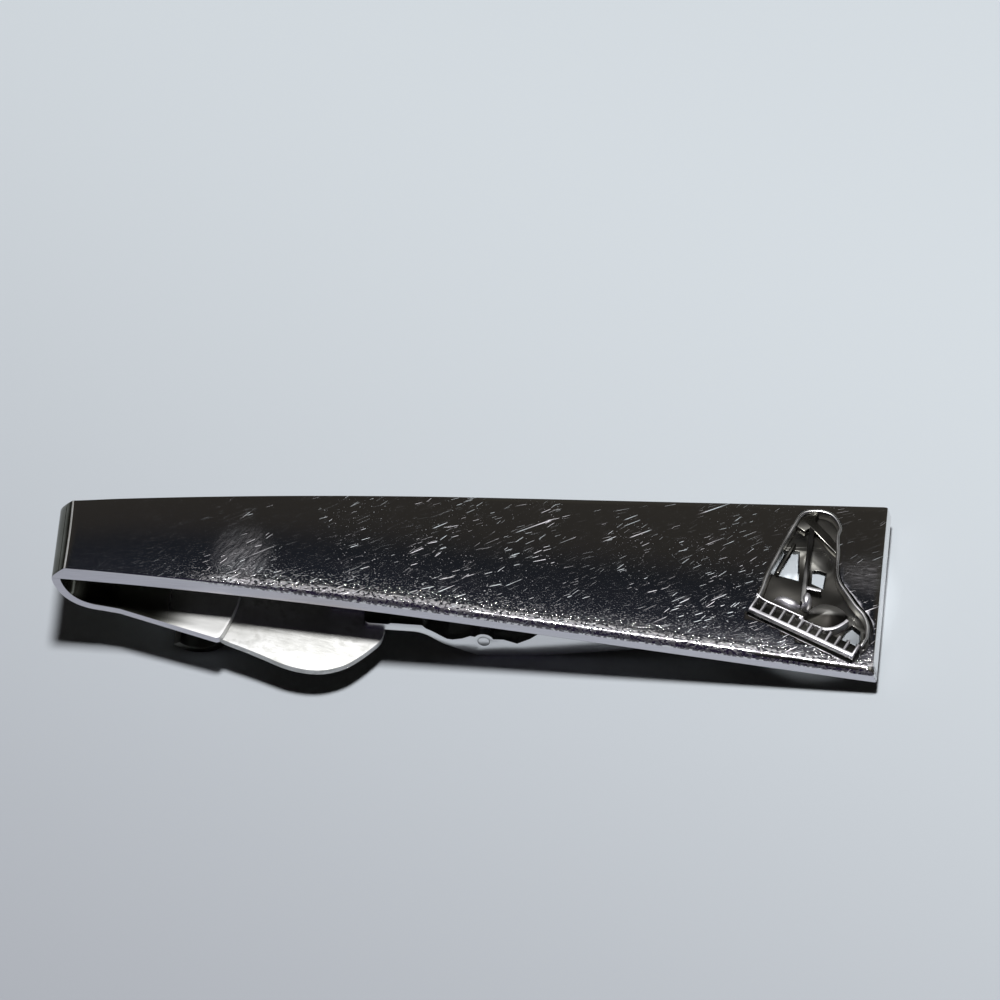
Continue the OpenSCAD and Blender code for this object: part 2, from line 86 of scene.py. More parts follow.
forward = Vector((math.sin(AZIMUTH) * math.cos(ELEVATION), math.cos(AZIMUTH) * math.cos(ELEVATION),
                  -math.sin(ELEVATION)))
level_right = Vector((math.cos(AZIMUTH), -math.sin(AZIMUTH), 0.0))
level_up = level_right.cross(forward)
right = level_right * math.cos(ROLL) + level_up * math.sin(ROLL)
up = level_up * math.cos(ROLL) - level_right * math.sin(ROLL)
camera_data = bpy.data.cameras.new("camera")
camera = bpy.data.objects.new("camera", camera_data)
bpy.context.scene.collection.objects.link(camera)
turn = Matrix((right, up, -forward)).transposed().to_4x4()
camera.matrix_world = Matrix.Translation(AIM - forward * DISTANCE) @ turn
camera_data.sensor_width = SENSOR
camera_data.lens = PIXELS_PER_MM * (DISTANCE / MM) * SENSOR / FRAME_PIXELS
camera_data.shift_x = (FRAME_PIXELS / 2 - AIM_PIXEL[0]) / FRAME_PIXELS
camera_data.shift_y = (AIM_PIXEL[1] - FRAME_PIXELS / 2) / FRAME_PIXELS
bpy.context.scene.camera = camera
bpy.context.scene.view_settings.view_transform = "Standard"
print("lens", round(camera_data.lens, 1), "mm")

# %% [markdown]
# A pale table, and one small lamp straight above it. A small lamp gives the dark, nearly hard shadow that
# the clip lies in, which a wide soft one would wash out.

# %% Table and lamp
FLOOR_SIZE = 2.4
deselect_all()
bpy.ops.mesh.primitive_plane_add(size=FLOOR_SIZE)
floor = bpy.context.active_object
floor.name = "table_top"

LAMP_HEIGHT = 0.7
lamp_data = bpy.data.lights.new("overhead_lamp", "AREA")
lamp_data.shape = "DISK"
lamp_data.size = 0.1
lamp_data.energy = 4.75
lamp = bpy.data.objects.new("overhead_lamp", lamp_data)
lamp.location = (0.085, 0.0, LAMP_HEIGHT)
bpy.context.scene.collection.objects.link(lamp)
print("lamp", lamp_data.energy, "W, disc of", lamp_data.size, "m")

# %% [markdown]
# The openings of the ornament show the table as white as it is beside the clip, so some light must reach it
# through them. A small spot lamp near the camera does this. Its narrow beam falls on the ornament only,
# and it is kept out of the reflections, where it would show as a hard bright dot.

# %% Lamp behind the viewer
ORNAMENT_AT = Vector((24.3, -1.1, 3.25)) * MM
SPOT_AWAY, BEAM_RADIUS = 0.5, 4.4 * MM
spot_data = bpy.data.lights.new("viewer_lamp", "SPOT")
spot_data.energy = 11.5
spot_data.spot_size = 2 * math.atan(BEAM_RADIUS / SPOT_AWAY)
spot_data.spot_blend = 0.08
spot_data.shadow_soft_size = 0.002
spot = bpy.data.objects.new("viewer_lamp", spot_data)
spot.matrix_world = Matrix.Translation(ORNAMENT_AT - forward * SPOT_AWAY) @ turn
bpy.context.scene.collection.objects.link(spot)
spot.visible_glossy = False
print("beam", round(math.degrees(spot_data.spot_size), 2), "degrees wide")

# %% [markdown]
# The room and the finishes are trees of nodes. Each of these helpers places one node, sets or links what
# goes into it, and hands back what comes out, so that a recipe reads from top to bottom.

# %% Helpers for node trees
def feed(tree, socket, value):
    """Gives a socket a number, colour or vector, or links another node's output to it."""
    if isinstance(value, bpy.types.NodeSocket):
        tree.links.new(value, socket)
    else:
        socket.default_value = (*value, 1) if socket.type == "RGBA" else value


VECTORS = "ShaderNodeVectorMath"


def maths(tree, operation, a, b=0.0, kind="ShaderNodeMath"):
    node = tree.nodes.new(kind)
    node.operation = operation
    feed(tree, node.inputs[0], a)
    feed(tree, node.inputs[1], b)
    return node.outputs[0]


def times(tree, a, b):
    return maths(tree, "MULTIPLY", a, b)


def step_up(tree, value, low, high):
    """0 below the low end, 1 above the high end, and a smooth step between them."""
    node = tree.nodes.new("ShaderNodeMapRange")
    node.interpolation_type = "SMOOTHSTEP"
    for label, number in (("Value", value), ("From Min", low), ("From Max", high)):
        feed(tree, node.inputs[label], number)
    return node.outputs["Result"]


def step_down(tree, value, low, high):
    return maths(tree, "SUBTRACT", 1.0, step_up(tree, value, low, high))


def blend(tree, kind, mask, first, second):
    node = tree.nodes.new("ShaderNodeMix")
    node.data_type = kind
    for label, value in (("Factor", mask), ("A", first), ("B", second)):
        feed(tree, node.inputs[label], value)
    return node.outputs["Result"]


# %% [markdown]
# What polished metal shows is the room round it, so the world matters as much as the lamps. Mirror-like
# rays find a dark room low down and a bright ceiling overhead, and the near side of the room has a
# violet cast. Rays from matt surfaces find very little light, and the camera's own rays a pale backdrop.

# %% Room
world = bpy.data.worlds.new("studio")
bpy.context.scene.world = world
world.use_nodes = True
room = world.node_tree
room.nodes.clear()
direction = room.nodes.new("ShaderNodeTexCoord")
split = room.nodes.new("ShaderNodeSeparateXYZ")
feed(room, split.inputs[0], direction.outputs["Generated"])
room_ramp = room.nodes.new("ShaderNodeValToRGB")
feed(room, room_ramp.inputs[0], split.outputs["Z"])
ROOM_STOPS = ((0.0, (0.05, 0.048, 0.042)), (0.45, (0.04, 0.038, 0.034)), (0.66, (0.036, 0.033, 0.028)),
              (0.8, (0.026, 0.024, 0.022)), (0.83, (0.011, 0.013, 0.017)), (0.875, (0.013, 0.015, 0.022)),
              (0.9, (0.1, 0.1, 0.12)), (0.93, (0.9, 0.9, 0.96)), (1.0, (1.0, 1.0, 1.02)))
while len(room_ramp.color_ramp.elements) < len(ROOM_STOPS):
    room_ramp.color_ramp.elements.new(0.5)
for element, (height, colour) in zip(room_ramp.color_ramp.elements, ROOM_STOPS):
    element.position = height
    element.color = (*colour, 1)
NEAR_SIDE_COLOUR, MATT_RAY_COLOUR = (0.022, 0.017, 0.038), (0.0095, 0.008, 0.0068)
BACKDROP_COLOUR = (0.66, 0.71, 0.76)
around = blend(room, "RGBA", step_up(room, split.outputs["Y"], -0.08, 0.1), NEAR_SIDE_COLOUR,
               room_ramp.outputs["Color"])
ray = room.nodes.new("ShaderNodeLightPath")
ambient = blend(room, "RGBA", ray.outputs["Is Glossy Ray"], MATT_RAY_COLOUR, around)
backdrop = blend(room, "RGBA", ray.outputs["Is Camera Ray"], ambient, BACKDROP_COLOUR)
studio = room.nodes.new("ShaderNodeBackground")
feed(room, studio.inputs["Color"], backdrop)
world_out = room.nodes.new("ShaderNodeOutputWorld")
feed(room, world_out.inputs[0], studio.outputs[0])
print("room stops", len(ROOM_STOPS))

# %% [markdown]
# Four effects are used again and again, so each is a node group with its own inputs: long fine scratches
# from handling, tiny pits, a slow unevenness, and an oval patch, which marks hazy wear on the plate and the
# places of painted light on the ornament. They read Object coordinates, turned into millimetres first, so a
# scratch has the same size on every piece.

# %% Shared effects
def new_group(name, inputs, output):
    group = bpy.data.node_groups.new(name, "ShaderNodeTree")
    for label, value in inputs:
        socket = group.interface.new_socket(name=label, in_out="INPUT", socket_type="NodeSocketFloat")
        socket.default_value = value
    group.interface.new_socket(name=output, in_out="OUTPUT", socket_type="NodeSocketFloat")
    return group, group.nodes.new("NodeGroupInput"), group.nodes.new("NodeGroupOutput")


def turned_millimetres(tree, angle=0.0, stretch=(1, 1, 1)):
    """Object coordinates in millimetres, turned about Z, then stretched along each axis."""
    place = tree.nodes.new("ShaderNodeTexCoord")
    turn_by = tree.nodes.new("ShaderNodeVectorRotate")
    turn_by.rotation_type = "Z_AXIS"
    feed(tree, turn_by.inputs["Vector"], place.outputs["Object"])
    feed(tree, turn_by.inputs["Angle"], angle)
    return maths(tree, "MULTIPLY", turn_by.outputs[0], tuple(1000 * k for k in stretch), VECTORS)


def noise(tree, angle, stretch, detail=0.0):
    node = tree.nodes.new("ShaderNodeTexNoise")
    node.inputs["Scale"].default_value = 1.0
    node.inputs["Detail"].default_value = detail
    feed(tree, node.inputs["Vector"], turned_millimetres(tree, angle, stretch))
    return node.outputs["Fac"]


scratches, given, put = new_group("handling_scratches", (("Angle", 0.0), ("Along", 0.4), ("Across", 4.0),
                                                         ("Rarity", 0.5), ("Fan", 0.6)), "Mask")
tree = scratches
stretch = tree.nodes.new("ShaderNodeCombineXYZ")
feed(tree, stretch.inputs["X"], given.outputs["Along"])
feed(tree, stretch.inputs["Y"], given.outputs["Across"])
turned = turned_millimetres(tree, given.outputs["Angle"])
spread = maths(tree, "MULTIPLY", turned, stretch.outputs[0], VECTORS)
cell = tree.nodes.new("ShaderNodeTexVoronoi")
cell.voronoi_dimensions = "2D"
cell.inputs["Scale"].default_value = 1.0
feed(tree, cell.inputs["Vector"], spread)
apart = tree.nodes.new("ShaderNodeSeparateXYZ")
feed(tree, apart.inputs[0], maths(tree, "SUBTRACT", spread, cell.outputs["Position"], VECTORS))
chance = tree.nodes.new("ShaderNodeSeparateColor")
feed(tree, chance.inputs[0], cell.outputs["Color"])
luck, lean, shine = (chance.outputs[k] for k in range(3))
slope = times(tree, maths(tree, "SUBTRACT", lean, 0.5), given.outputs["Fan"])
sideways = maths(tree, "ADD", apart.outputs["Y"], times(tree, apart.outputs["X"], slope))
reach = maths(tree, "ADD", times(tree, lean, 0.28), 0.14)
thin = step_down(tree, maths(tree, "ABSOLUTE", sideways), 0.03, 0.15)
along = maths(tree, "DIVIDE", maths(tree, "ABSOLUTE", apart.outputs["X"]), reach)
short = step_down(tree, along, 0.5, 1.0)
kept = maths(tree, "GREATER_THAN", luck, given.outputs["Rarity"])
bright = maths(tree, "ADD", times(tree, maths(tree, "POWER", shine, 4.0), 0.88), 0.12)
feed(tree, put.inputs["Mask"], times(tree, times(tree, thin, short), times(tree, kept, bright)))

pits, given, put = new_group("tiny_pits", (("Threshold", 0.68),), "Mask")
specks = noise(pits, 0.0, (7.0, 9.0, 7.0), detail=1.0)
threshold = given.outputs["Threshold"]
feed(pits, put.inputs["Mask"], step_up(pits, specks, threshold, maths(pits, "ADD", threshold, 0.08)))

uneven, given, put = new_group("slow_unevenness", (("Low", 0.35), ("High", 0.65)), "Value")
swell = noise(uneven, 0.6, (0.22, 0.35, 0.3), detail=2.0)
feed(uneven, put.inputs["Value"], step_up(uneven, swell, given.outputs["Low"], given.outputs["High"]))

patch, given, put = new_group("oval_patch", (("X", 0.0), ("Y", 0.0), ("Wide", 2.0), ("Deep", 2.0)), "Mask")
place = patch.nodes.new("ShaderNodeSeparateXYZ")
feed(patch, place.inputs[0], turned_millimetres(patch))
squares = []
for axis, size in (("X", "Wide"), ("Y", "Deep")):
    away = maths(patch, "SUBTRACT", place.outputs[axis], given.outputs[axis])
    share = maths(patch, "DIVIDE", away, given.outputs[size])
    squares.append(times(patch, share, share))
feed(patch, put.inputs["Mask"], step_down(patch, maths(patch, "ADD", *squares), 0.0, 1.0))
print("effects", [group.name for group in bpy.data.node_groups])

# %% [markdown]
# A finish is one material with its own shader, and most are made the same way: a mask that changes over
# the surface, a colour at each end of it, and a roughness at each end. So these steps are functions.

# %% Helpers for the finishes
def new_finish(name, colour, metal, roughness):
    paint = bpy.data.materials.new(name)
    paint.use_nodes = True
    shader = paint.node_tree.nodes["Principled BSDF"]
    shader.inputs["Base Color"].default_value = (*colour, 1)
    shader.inputs["Metallic"].default_value = metal
    shader.inputs["Roughness"].default_value = roughness
    return paint, paint.node_tree, shader


def place_group(tree, group, **values):
    node = tree.nodes.new("ShaderNodeGroup")
    node.node_tree = group
    for label, value in values.items():
        feed(tree, node.inputs[label], value)
    return node.outputs[0]


def colour_between(tree, shader, mask, first, second):
    feed(tree, shader.inputs["Base Color"], blend(tree, "RGBA", mask, first, second))


def rough_between(tree, shader, mask, low, high):
    feed(tree, shader.inputs["Roughness"], blend(tree, "FLOAT", mask, low, high))


def dent(tree, shader, height, depth):
    bump = tree.nodes.new("ShaderNodeBump")
    bump.inputs["Distance"].default_value = depth * MM
    bump.inputs["Strength"].default_value = 1.0
    feed(tree, bump.inputs["Height"], height)
    feed(tree, shader.inputs["Normal"], bump.outputs["Normal"])


# %% [markdown]
# The front is plated and polished like a mirror. Use has left scratches on it, which are rough lines that
# catch the ceiling, and two hazy patches. Crumbs and tiny dents follow the near edge. Colour alone would
# look painted on, so every mark changes the roughness and the bump as well.

# %% Mirror plating
PLATE_LEN, NARROW_W, WIDE_W, PLATE_T = 57.0, 5.85, 14.2, 1.5
REST_X = -27.836
EDGE_SLOPE = (WIDE_W - NARROW_W) / 2 / PLATE_LEN
EDGE_AT_MIDDLE = NARROW_W / 2 - EDGE_SLOPE * REST_X
MIRROR_COLOUR, MIRROR_ROUGH, MARK_ROUGH = (0.78, 0.77, 0.76), 0.07, 0.55
SCRATCH_TURN = math.radians(-33)
SCRATCH_SETS = ((0.0, 0.42, 4.2, 0.62, 0.7), (0.12, 0.9, 7.5, 0.5, 0.9), (-0.25, 0.8, 6.0, 0.66, 0.9),
                (0.22, 0.6, 5.0, 0.72, 0.8), (0.05, 0.16, 2.6, 0.84, 0.12))
HAZE_PATCHES = ((-15.6, -1.2, 2.8, 3.4, 0.9), (28.2, 1.0, 3.6, 2.4, 0.0))

mirror, tree, shader = new_finish("mirror_plating", MIRROR_COLOUR, 1.0, MIRROR_ROUGH)
where = tree.nodes.new("ShaderNodeSeparateXYZ")
feed(tree, where.inputs[0], turned_millimetres(tree))
marks = times(tree, place_group(tree, pits, Threshold=0.68), 0.5)
for turn_more, along, across, rarity, fan in SCRATCH_SETS:
    one_set = place_group(tree, scratches, Angle=SCRATCH_TURN + turn_more, Along=along, Across=across,
                          Rarity=rarity, Fan=fan)
    marks = maths(tree, "MAXIMUM", marks, one_set)
patchy = maths(tree, "ADD", times(tree, place_group(tree, uneven, Low=0.36, High=0.6), 0.55), 0.45)
handled = maths(tree, "ADD", times(tree, step_up(tree, where.outputs["X"], -25.0, -12.0), 0.8), 0.2)
worn = times(tree, marks, times(tree, handled, patchy))
haze = 0.0
for x, y, wide, deep, streak_turn in HAZE_PATCHES:
    streaks = step_up(tree, noise(tree, -streak_turn, (1.3, 9.0, 1.0), detail=2.0), 0.3, 0.8)
    here = place_group(tree, patch, X=x, Y=y, Wide=wide, Deep=deep)
    haze = maths(tree, "MAXIMUM", haze,
                 times(tree, here, maths(tree, "ADD", times(tree, streaks, 0.6), 0.3)))
worn = maths(tree, "MAXIMUM", worn, times(tree, haze, 0.42))

edge_here = maths(tree, "ADD", times(tree, where.outputs["X"], EDGE_SLOPE), EDGE_AT_MIDDLE)
from_edge = maths(tree, "ADD", where.outputs["Y"], edge_here)
slid_over = step_up(tree, where.outputs["X"], -20.5, -14.5)
near_edge = times(tree, slid_over, step_down(tree, from_edge, 0.0, 2.4))
at_edge = times(tree, slid_over, step_down(tree, from_edge, 0.4, 1.1))
crumb_noise = noise(tree, 0.2, (4.5, 5.5, 5.0), detail=1.0)
dark_crumbs = times(tree, times(tree, step_up(tree, crumb_noise, 0.42, 0.56), at_edge), 0.85)
polish = blend(tree, "RGBA", dark_crumbs, MIRROR_COLOUR, (0.12, 0.11, 0.13))
tint = blend(tree, "RGBA", step_up(tree, noise(tree, 0.3, (0.5, 0.5, 0.5)), 0.42, 0.6),
             (0.86, 0.95, 1.0), (0.98, 0.94, 1.0))
colour_between(tree, shader, worn, polish, tint)
rough_between(tree, shader, maths(tree, "MAXIMUM", worn, dark_crumbs), MIRROR_ROUGH, MARK_ROUGH)

grains = place_group(tree, pits, Threshold=0.6)
grain_height = times(tree, grains, maths(tree, "ADD", times(tree, near_edge, 0.6), 0.1))
edge_height = times(tree, crumb_noise, times(tree, at_edge, 2.4))
dent(tree, shader, maths(tree, "ADD", maths(tree, "ADD", grain_height, edge_height),
                         times(tree, worn, 0.3)), 0.008)
print("scratch sets", len(SCRATCH_SETS), "hazy patches", len(HAZE_PATCHES))

# %% [markdown]
# The band round the plate's edge and the sides of the lever are brushed, so their grain runs along the
# clip and blurs what they reflect. The pad is blasted, which leaves it white and cloudy. The spring leaf is
# painted dark at the fold, as shade, and white beyond, where light falls on it.

# %% Satin and spring finishes
band, tree, shader = new_finish("satin_band", (0.62, 0.6, 0.65), 1.0, 0.34)
grain = noise(tree, 0.0, (0.6, 3.0, 12.0), detail=2.0)
colour_between(tree, shader, grain, (0.54, 0.525, 0.56), (0.72, 0.7, 0.75))
rough_between(tree, shader, grain, 0.26, 0.44)
dent(tree, shader, grain, 0.004)

flange, tree, shader = new_finish("satin_flange", (0.86, 0.86, 0.87), 1.0, 0.32)
grain = noise(tree, 0.0, (0.6, 3.0, 6.0), detail=2.0)
colour_between(tree, shader, grain, (0.8, 0.8, 0.81), (0.9, 0.9, 0.9))
rough_between(tree, shader, grain, 0.26, 0.4)

satin, tree, shader = new_finish("satin_spring", (0.8, 0.8, 0.78), 0.75, 0.58)
cloudy = step_up(tree, noise(tree, 0.5, (1.6, 1.6, 1.6), detail=3.0), 0.3, 0.55)
mottle = times(tree, place_group(tree, uneven, Low=0.3, High=0.7), cloudy)
grain = noise(tree, 0.2, (1.5, 5.0, 5.0), detail=4.0)
colour_between(tree, shader, mottle, (0.56, 0.56, 0.54), (0.79, 0.79, 0.78))
rough_between(tree, shader, grain, 0.5, 0.66)
dent(tree, shader, grain, 0.01)

# Painted shade and light: the leaf is dark near the fold, where it lies in shade, and white from here on,
# where light falls on it.
LIT_FROM, LIT_TO = -22.6, -18.6
shaded_leaf, tree, shader = new_finish("leaf_painted_shade_and_light", (0.2, 0.2, 0.17), 1.0, 0.16)
where = tree.nodes.new("ShaderNodeSeparateXYZ")
feed(tree, where.inputs[0], turned_millimetres(tree))
painted_lit = step_up(tree, where.outputs["X"], LIT_FROM, LIT_TO)
grain = noise(tree, 0.2, (1.5, 5.0, 5.0), detail=4.0)
shaded_steel = blend(tree, "RGBA", place_group(tree, uneven), (0.1, 0.1, 0.08), (0.18, 0.18, 0.155))
colour_between(tree, shader, painted_lit, shaded_steel, (0.72, 0.72, 0.71))
rough_between(tree, shader, painted_lit, 0.16, 0.56)
feed(tree, shader.inputs["Metallic"], blend(tree, "FLOAT", painted_lit, 1.0, 0.7))
dent(tree, shader, times(tree, grain, painted_lit), 0.01)

strip_edge, tree, shader = new_finish("bright_spring", (0.7, 0.69, 0.7), 1.0, 0.3)
grain = noise(tree, 0.1, (1.0, 4.0, 6.0), detail=3.0)
rough_between(tree, shader, grain, 0.2, 0.4)
dent(tree, shader, grain, 0.005)
print("finishes", len(bpy.data.materials))

# %% [markdown]
# The ornament is the same metal, but a polishing wheel reaches only its tops, and rubbing has cleared the
# keys. Painted shade makes the hollows, the plate's underside and most of the boss nearly black, and a
# painted highlight lies as a bright patch on the boss's top and on the prop's crossbar. A slow stain changes
# the colour and the roughness of them all, so one function makes most.

# %% Ornament finishes
def stained_finish(name, dark, light, roughs, patchy=None, bright=None, fades=(0.0, 1.0)):
    """Stained metal. Given a patch, an oval of it is painted bright as a highlight."""
    paint, tree, shader = new_finish(name, light, 1.0, roughs[1])
    stain = place_group(tree, uneven)
    colour = blend(tree, "RGBA", stain, dark, light)
    if patchy:
        mask = step_up(tree, place_group(tree, patch, **patchy), *fades)
        colour = blend(tree, "RGBA", mask, colour, bright)
    feed(tree, shader.inputs["Base Color"], colour)
    rough_between(tree, shader, stain, *roughs)
    return paint


# Painted highlight: a bright oval patch on the boss's top and one on the prop's crossbar. The rest of the
# boss is painted nearly black as shade.
BOSS_HIGHLIGHT_PATCH = {"X": 25.1, "Y": -1.6, "Wide": 2.4, "Deep": 1.1}
CROSSBAR_HIGHLIGHT_PATCH = {"X": 24.6, "Y": -0.65, "Wide": 1.1, "Deep": 1.0}
# Painted shade: nearly black, for the plate's back and for the faces of the lever and the pad that lie in
# shade.
shaded_underside = stained_finish("painted_shade_underside", (0.05, 0.05, 0.043), (0.11, 0.11, 0.1), (0.34, 0.5))
bar_metal = stained_finish("smooth_bar_metal", (0.6, 0.595, 0.58), (0.85, 0.845, 0.83), (0.24, 0.36))
key_metal = stained_finish("rubbed_key_metal", (0.88, 0.87, 0.9), (0.98, 0.97, 1.0), (0.36, 0.5))
# Painted shade: black for the opening's walls, the keyboard's cells and the prop's sides.
shaded_hollow = stained_finish("painted_shade_hollow", (0.03, 0.03, 0.028), (0.09, 0.087, 0.08), (0.22, 0.36))
boss_painted_light = stained_finish("boss_painted_highlight_and_shade", (0.013, 0.012, 0.011), (0.026, 0.025, 0.022), (0.42, 0.52),
                            patchy=BOSS_HIGHLIGHT_PATCH, bright=(0.6, 0.59, 0.56))
prop_metal = stained_finish("prop_metal", (0.1, 0.098, 0.095), (0.2, 0.197, 0.19), (0.24, 0.36),
                            patchy=CROSSBAR_HIGHLIGHT_PATCH, bright=(0.96, 0.95, 0.97), fades=(0.1, 0.4))

tarnish, tree, shader = new_finish("tarnished_relief", (0.36, 0.35, 0.31), 1.0, 0.3)
ripple = noise(tree, 0.9, (0.45, 0.45, 0.45))
stain = place_group(tree, uneven, Low=0.4, High=0.62)
colour_between(tree, shader, stain, (0.14, 0.137, 0.122), (0.27, 0.265, 0.245))
rough_between(tree, shader, ripple, 0.18, 0.32)
dent(tree, shader, ripple, 0.4)

soundboard_painted_light_and_shade, tree, shader = new_finish("soundboard_painted_light_and_shade", (0.36, 0.35, 0.31), 1.0, 0.3)
# Painted light and shade: the soundboard is painted dark, as shade in its deep recesses, and lighter in three
# places where light falls on it.
PAINTED_LIGHT_PLACES = ((24.3, 2.1, 1.4, 1.7), (27.0, -2.6, 2.2, 2.2), (22.6, 3.6, 1.2, 1.4))
light = 0.0
for x, y, wide, deep in PAINTED_LIGHT_PLACES:
    light = maths(tree, "MAXIMUM", light, place_group(tree, patch, X=x, Y=y, Wide=wide, Deep=deep))
blotches = maths(tree, "ADD", times(tree, noise(tree, 0.4, (1.1, 1.1, 1.1)), 0.8), 0.5)
light = times(tree, step_up(tree, light, 0.1, 0.8), blotches)
colour_between(tree, shader, light, (0.045, 0.043, 0.039), (0.19, 0.187, 0.172))
rough_between(tree, shader, light, 0.5, 0.26)
dent(tree, shader, noise(tree, 0.9, (0.45, 0.45, 0.45)), 0.4)
print("finishes", len(bpy.data.materials))

# %% [markdown]
# The table is matt paint. It is painted a little darker towards the viewer, as the photographed one is, as
# painted shade for the way light falls off across it, so its colour follows a slope across the floor.

# %% Table paint
table_paint, tree, shader = new_finish("table_paint", (0.64, 0.68, 0.72), 0.0, 0.7)
place = tree.nodes.new("ShaderNodeTexCoord")
slope = tree.nodes.new("ShaderNodeVectorMath")
slope.operation = "DOT_PRODUCT"
slope.inputs[1].default_value = (0.45, 0.9, 0.0)
feed(tree, slope.inputs[0], place.outputs["Object"])
# Painted shade: the table is painted darker towards the viewer, for the fall of light across it.
colour_between(tree, shader, step_up(tree, slope.outputs["Value"], -0.07, 0.045),
               (0.4, 0.42, 0.465), (0.685, 0.74, 0.785))
floor.data.materials.append(table_paint)
print("table", table_paint.name)

# %% [markdown]
# The clip is drawn flat first, in millimetres along its own plate, because a blank is flat before the
# maker's press crowns and bows it. These functions do what the press does: they give the height of the
# crown, wrap a point round the bow, and lay the finished clip on the table.

# %% From the flat blank to the table
CROWN_R, BOW_LEN, BOW_R = 80.0, 29.0, 283.0
STRIP_T = 0.6
REST_TILT = math.radians(8.24366)
REST_MOVE = Vector((REST_X, 0.0, 9.48571))


def on_table(x, y, z):
    return (Vector((x * math.cos(REST_TILT) + z * math.sin(REST_TILT), y,
                    z * math.cos(REST_TILT) - x * math.sin(REST_TILT))) + REST_MOVE) * MM


def half_width(x):
    return (NARROW_W + (WIDE_W - NARROW_W) * x / PLATE_LEN) / 2


def crown_height(y):
    return math.sqrt(CROWN_R ** 2 - y ** 2) - CROWN_R + PLATE_T


def bowed(along, up):
    if along >= BOW_LEN:
        return along, up
    turned = (BOW_LEN - along) / BOW_R
    return BOW_LEN - (BOW_R + up) * math.sin(turned), (BOW_R + up) * math.cos(turned) - BOW_R


print("middle of the front", [round(value / MM, 2) for value in on_table(PLATE_LEN / 2, 0, PLATE_T)], "mm")

# %% [markdown]
# Modelling is the same few moves again and again: step into edit mode, pick edges, shade smooth, give the
# faces their finish, apply a modifier. An operator acts on what is selected, so each begins with that.

# %% Helpers for meshes
def edit_mode(piece):
    make_active(piece)
    bpy.ops.object.mode_set(mode="EDIT")


def pick_edges(piece, wanted):
    """In edit mode, selects only the edges that the test accepts."""
    bpy.ops.mesh.select_mode(type="EDGE")
    bpy.ops.mesh.select_all(action="DESELECT")
    shape = bmesh.from_edit_mesh(piece.data)
    for edge in shape.edges:
        if wanted(edge):
            edge.select = True
    shape.select_flush_mode()
    bmesh.update_edit_mesh(piece.data)
    return sum(edge.select for edge in shape.edges)


def smooth_finish(piece, angle=35.0):
    make_active(piece)
    bpy.ops.object.shade_smooth_by_angle(angle=math.radians(angle))


def paint_faces(piece, paints, choose):
    """Gives the piece its finishes, and each face the one that the rule chooses."""
    piece.data.materials.clear()
    for paint in paints:
        piece.data.materials.append(paint)
    for face in piece.data.polygons:
        face.material_index = paints.index(choose(face))


def apply_modifier(piece, kind, **settings):
    make_active(piece)
    modifier = piece.modifiers.new(kind.lower(), kind)
    for label, value in settings.items():
        setattr(modifier, label, value)
    bpy.ops.object.modifier_apply(modifier=modifier.name)


# %% [markdown]
# At the narrow end the plate bends over into the fold. Its outline is a smooth curve through points measured
# on the photograph, because the real fold was bent by hand and is no true arc. The slab's end follows the
# first stretch of the curve, and the strip goes on with it later.

# %% Outline of the fold
FOLD_OUTLINE = ((-0.02, 0.04), (-0.24, -0.16), (-0.56, -0.54), (-0.89, -1.0), (-1.06, -1.42), (-1.0, -1.95),
                (-0.78, -2.6), (-0.46, -3.22), (0.05, -3.86), (0.85, -4.4), (1.8, -4.66), (2.6, -4.69))


def flowing(points, steps=3, closed=False):
    """A smooth curve through the points."""
    count = len(points)
    pick = (lambda i: points[i % count]) if closed else (lambda i: points[min(max(i, 0), count - 1)])
    curve = []
    for i in range(count if closed else count - 1):
        a, b, c, d = (Vector(pick(i + k)) for k in (-1, 0, 1, 2))
        for k in range(steps):
            t = k / steps
            curve.append(0.5 * (2 * b + (c - a) * t + (2 * a - 5 * b + 4 * c - d) * t ** 2
                                + (3 * b - a - 3 * c + d) * t ** 3))
    return curve if closed else curve + [Vector(points[-1])]


fold_curve = flowing(FOLD_OUTLINE, steps=5)


def fold_end_at(z):
    """How far the slanted end of the slab reaches at a height."""
    for a, b in zip(fold_curve, fold_curve[1:]):
        if b.y <= z <= a.y:
            return a.x + (b.x - a.x) * (a.y - z) / (a.y - b.y)
    return fold_curve[0].x if z > fold_curve[0].y else fold_curve[-1].x


print("fold outline", len(fold_curve), "points")

# %% [markdown]
# The front plate is a slab with a crown. A grid is the blank's face. It is copied for the back, and the two
# outlines are bridged for the walls. The dense grid keeps the mirror surface free of facets.

# %% Blank of the front plate
LEFT_END = -0.25
deselect_all()
bpy.ops.mesh.primitive_grid_add(x_subdivisions=110, y_subdivisions=28, size=1)
plate = bpy.context.active_object
plate.name = "front_plate_slab"
edit_mode(plate)
bpy.ops.mesh.select_all(action="SELECT")
bpy.ops.transform.resize(value=((PLATE_LEN - LEFT_END) * MM, WIDE_W * MM, 1))
bpy.ops.transform.translate(value=((PLATE_LEN + LEFT_END) / 2 * MM, 0, 0))
bpy.ops.mesh.duplicate()
bpy.ops.transform.translate(value=(0, 0, -PLATE_T * MM))
bpy.ops.mesh.flip_normals()
bpy.ops.mesh.select_all(action="SELECT")
bpy.ops.mesh.region_to_loop()
bpy.ops.mesh.bridge_edge_loops(number_cuts=2)
bpy.ops.mesh.select_all(action="SELECT")
bpy.ops.mesh.normals_make_consistent(inside=False)
print("blank", len(bmesh.from_edit_mesh(plate.data).faces), "faces")

# %% [markdown]
# Corners and edges are bevelled while all is still flat and square, since edges are easy to tell apart
# there. An edge's bevel weight says how far it is worn. Only then is the blank pressed: every vertex goes
# through the functions above, and the two ends get their slant.

